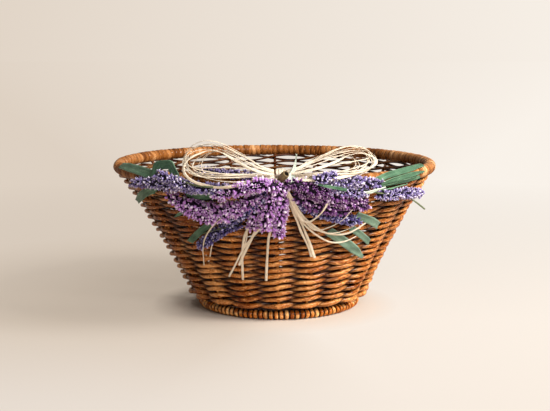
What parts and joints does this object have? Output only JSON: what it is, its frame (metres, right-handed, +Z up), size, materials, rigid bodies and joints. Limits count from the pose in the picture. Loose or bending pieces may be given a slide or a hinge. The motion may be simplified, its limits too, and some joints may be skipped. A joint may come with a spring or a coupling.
{
  "type": "flower girl basket",
  "caption": "Round flared wicker basket twined on upright stakes, with a wrapped rim, beaded foot, a lavender spray and a raffia bow; holds petals or small items.",
  "frame": {"origin": "on the floor, under the middle of the basket's overall width and depth", "axes": "+Z up, -Y to the decorated front, +X to the right seen from the front"},
  "size_m": [0.25, 0.2588, 0.1383],
  "materials": {
    "wicker": "satin, unpeeled willow rods",
    "wicker_roll": "satin, wrapped cane",
    "purple_lavender": "matte dried flowers",
    "blue_lavender": "matte dried flowers",
    "leaf": "soft satin leaf",
    "raffia": "dry satin straw fibre"
  },
  "bodies": {
    "root": {"base_half_rod": "wicker", "base_rod_over_1": "wicker", "base_rod_over_2": "wicker", "base_rod_over_3": "wicker", "base_rod_over_4": "wicker", "base_rod_under_1": "wicker", "base_rod_under_2": "wicker", "base_rod_under_3": "wicker", "base_rod_under_4": "wicker", "base_rod_under_5": "wicker", "base_weaver": "wicker", "foot_roll": "wicker_roll", "lavender_10_blue": "blue_lavender", "lavender_1_blue": "blue_lavender", "lavender_2_purple": "purple_lavender", "lavender_3_blue": "blue_lavender", "lavender_4_blue": "blue_lavender", "lavender_5_purple": "purple_lavender", "lavender_6_purple": "purple_lavender", "lavender_7_purple": "purple_lavender", "lavender_8_blue": "blue_lavender", "lavender_9_blue": "blue_lavender", "leaf_1": "leaf", "leaf_2": "leaf", "leaf_3": "leaf", "leaf_4": "leaf", "leaf_5": "leaf", "leaf_6": "leaf", "leaf_7": "leaf", "leaf_8": "leaf", "leaf_9": "leaf", "raffia_binding": "raffia", "raffia_loop_left_1": "raffia", "raffia_loop_left_2": "raffia", "raffia_loop_right_1": "raffia", "raffia_loop_right_2": "raffia", "raffia_tail_1": "raffia", "raffia_tail_2": "raffia", "raffia_tail_3": "raffia", "raffia_tail_4": "raffia", "raffia_tail_5": "raffia", "rim_roll": "wicker_roll", "weave_row_01": "wicker", "weave_row_02": "wicker", "weave_row_03": "wicker", "weave_row_04": "wicker", "weave_row_05": "wicker", "weave_row_06": "wicker", "weave_row_07": "wicker", "weave_row_08": "wicker", "weave_row_09": "wicker", "weave_row_10": "wicker", "weave_row_11": "wicker", "weave_row_12": "wicker", "weave_row_13": "wicker", "weave_row_14": "wicker", "weave_row_15": "wicker", "weave_row_16": "wicker", "weave_row_17": "wicker", "weave_row_18": "wicker"}
  },
  "joints": []
}
